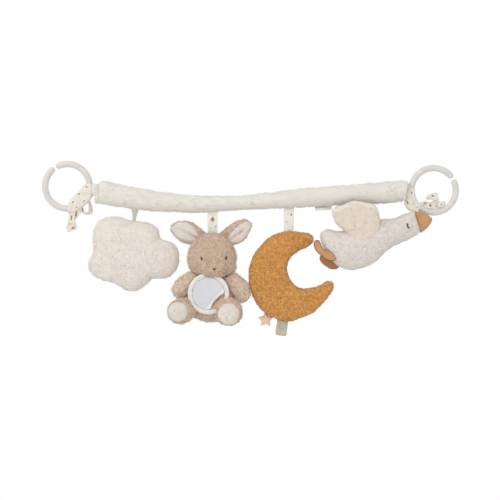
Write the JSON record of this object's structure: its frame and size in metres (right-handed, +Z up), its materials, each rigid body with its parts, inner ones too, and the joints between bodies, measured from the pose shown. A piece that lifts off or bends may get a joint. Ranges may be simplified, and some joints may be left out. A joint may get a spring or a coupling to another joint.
{
  "type": "car seat toy arch",
  "caption": "Soft flexible fleece bar with a split ring tied at each end, hanging a plush cloud, bunny with belly mirror, crescent moon and goose on ribbons.",
  "frame": {"origin": "midway between the centres of the two split rings, which a carrier's handle holds up", "axes": "+X along the bar to the viewer's right, +Z up, -Y towards the viewer"},
  "size_m": [0.481, 0.0563, 0.2021],
  "materials": {
    "fleece": "cream teddy fleece, short curled pile, matt",
    "foam": "white polyester core, matt, hidden",
    "plastic": "off-white moulded plastic, softly glossy",
    "ribbon": "white woven ribbon with small ochre marks",
    "label": "cream woven tag, bare",
    "bunny": "beige short-pile plush",
    "lining": "cream velour",
    "stitch": "dark brown embroidery thread",
    "mirror": "clear safety mirror",
    "moon": "ochre bouclé teddy fleece with lighter and darker flecks",
    "star": "peach felt-like velour",
    "sage": "sage green cotton tape, bare",
    "goose": "off-white short-pile velour",
    "wing": "cream long-pile fleece",
    "suede": "tan imitation suede with edge stitching",
    "suede_dark": "darker tan imitation suede"
  },
  "bodies": {
    "bar": {"bar_cover": "fleece", "bar_core": "foam", "bar_end_left": "fleece", "bar_end_right": "fleece", "bar_label": "label"},
    "tie_left": {"tie_left_root": "ribbon", "tie_left_band": "ribbon", "tie_left_tail_long": "ribbon", "tie_left_tail_short": "ribbon", "tie_left_bow": "ribbon"},
    "ring_left": {"ring_left": "plastic"},
    "tie_right": {"tie_right_root": "ribbon", "tie_right_band": "ribbon", "tie_right_sash": "ribbon", "tie_right_tail_upper": "ribbon", "tie_right_tail_lower": "ribbon"},
    "ring_right": {"ring_right": "plastic"},
    "cloud_hanger": {"strap_cloud": "ribbon"},
    "cloud_toy": {"cloud": "fleece"},
    "bunny_hanger": {"strap_bunny": "ribbon"},
    "bunny_toy": {"bunny_head": "bunny", "bunny_body": "bunny", "bunny_leg_left": "bunny", "bunny_leg_right": "bunny", "bunny_pad_left": "lining", "bunny_pad_right": "lining", "bunny_eye_left": "stitch", "bunny_eye_right": "stitch", "bunny_nose": "stitch", "bunny_mirror_rim": "lining", "bunny_mirror_glass": "mirror"},
    "bunny_ear_l": {"bunny_ear_left": "bunny", "bunny_ear_lining_left": "lining"},
    "bunny_ear_r": {"bunny_ear_right": "bunny", "bunny_ear_lining_right": "lining"},
    "bunny_arm_l": {"bunny_arm_left": "bunny"},
    "bunny_arm_r": {"bunny_arm_right": "bunny"},
    "moon_hanger": {"strap_moon": "ribbon"},
    "moon_toy": {"moon": "moon", "moon_star_left": "star", "moon_star_right": "star", "moon_label": "sage"},
    "goose_toy": {"strap_goose": "ribbon", "goose_body": "goose", "goose_beak": "suede", "goose_eye_front": "stitch", "goose_eye_back": "stitch", "goose_foot_front": "suede", "goose_foot_back": "suede_dark"},
    "goose_wing_f": {"goose_wing_front": "wing"},
    "goose_wing_b": {"goose_wing_back": "wing"}
  },
  "joints": [
    {"name": "tie_left_fold", "type": "hinge", "parent": "bar", "child": "tie_left", "pos_m": [-0.17735, 0, -0.00525], "axis": [0, 0, 1], "range_deg": [-15, 15]},
    {"name": "ring_left_turn", "type": "hinge", "parent": "tie_left", "child": "ring_left", "pos_m": [-0.21125, 0, 0.0024], "axis": [0, 1, 0], "continuous": true},
    {"name": "tie_right_fold", "type": "hinge", "parent": "bar", "child": "tie_right", "pos_m": [0.17935, 0, -0.0031], "axis": [0, 0, 1], "range_deg": [-6, 15]},
    {"name": "ring_right_turn", "type": "hinge", "parent": "tie_right", "child": "ring_right", "pos_m": [0.21125, 0, -0.0022], "axis": [0, 1, 0], "continuous": true},
    {"name": "cloud_swing", "type": "hinge", "parent": "bar", "child": "cloud_hanger", "pos_m": [-0.135, 0, -0.02514], "axis": [1, 0, 0], "range_deg": [-40, 40]},
    {"name": "cloud_turn", "type": "hinge", "parent": "cloud_hanger", "child": "cloud_toy", "pos_m": [-0.135, 0, -0.03829], "axis": [0, 0, 1], "range_deg": [-20, 20]},
    {"name": "bunny_swing", "type": "hinge", "parent": "bar", "child": "bunny_hanger", "pos_m": [-0.0438, 0, -0.028], "axis": [1, 0, 0], "range_deg": [-40, 40]},
    {"name": "bunny_turn", "type": "hinge", "parent": "bunny_hanger", "child": "bunny_toy", "pos_m": [-0.0438, 0, -0.05115], "axis": [0, 0, 1], "range_deg": [-25, 25]},
    {"name": "bunny_ear_left_flop", "type": "hinge", "parent": "bunny_toy", "child": "bunny_ear_l", "pos_m": [-0.05989, 0.005, -0.056], "axis": [0, 1, 0], "range_deg": [-12, 12], "stiffness_Nm_per_rad": 0.02},
    {"name": "bunny_ear_right_flop", "type": "hinge", "parent": "bunny_toy", "child": "bunny_ear_r", "pos_m": [-0.02771, 0.005, -0.056], "axis": [0, 1, 0], "range_deg": [-12, 12], "stiffness_Nm_per_rad": 0.02},
    {"name": "bunny_arm_left_flop", "type": "hinge", "parent": "bunny_toy", "child": "bunny_arm_l", "pos_m": [-0.0678, -0.004, -0.1064], "axis": [1, 0, 0], "range_deg": [-15, 15], "stiffness_Nm_per_rad": 0.02},
    {"name": "bunny_arm_right_flop", "type": "hinge", "parent": "bunny_toy", "child": "bunny_arm_r", "pos_m": [-0.0228, -0.004, -0.1064], "axis": [1, 0, 0], "range_deg": [-15, 15], "stiffness_Nm_per_rad": 0.02},
    {"name": "moon_swing", "type": "hinge", "parent": "bar", "child": "moon_hanger", "pos_m": [0.0442, 0, -0.0236], "axis": [1, 0, 0], "range_deg": [-40, 40]},
    {"name": "moon_turn", "type": "hinge", "parent": "moon_hanger", "child": "moon_toy", "pos_m": [0.0442, 0, -0.04905], "axis": [0, 0, 1], "range_deg": [-25, 25]},
    {"name": "goose_swing", "type": "hinge", "parent": "bar", "child": "goose_toy", "pos_m": [0.129, 0, -0.01877], "axis": [1, 0, 0], "range_deg": [-8, 5]},
    {"name": "goose_wing_front_flap", "type": "hinge", "parent": "goose_toy", "child": "goose_wing_f", "pos_m": [0.1218, -0.0268, -0.0608], "axis": [1, 0, 0], "range_deg": [0, 50], "stiffness_Nm_per_rad": 0.02},
    {"name": "goose_wing_back_flap", "type": "hinge", "parent": "goose_toy", "child": "goose_wing_b", "pos_m": [0.1218, 0.0104, -0.0618], "axis": [1, 0, 0], "range_deg": [-50, 0], "stiffness_Nm_per_rad": 0.02}
  ]
}
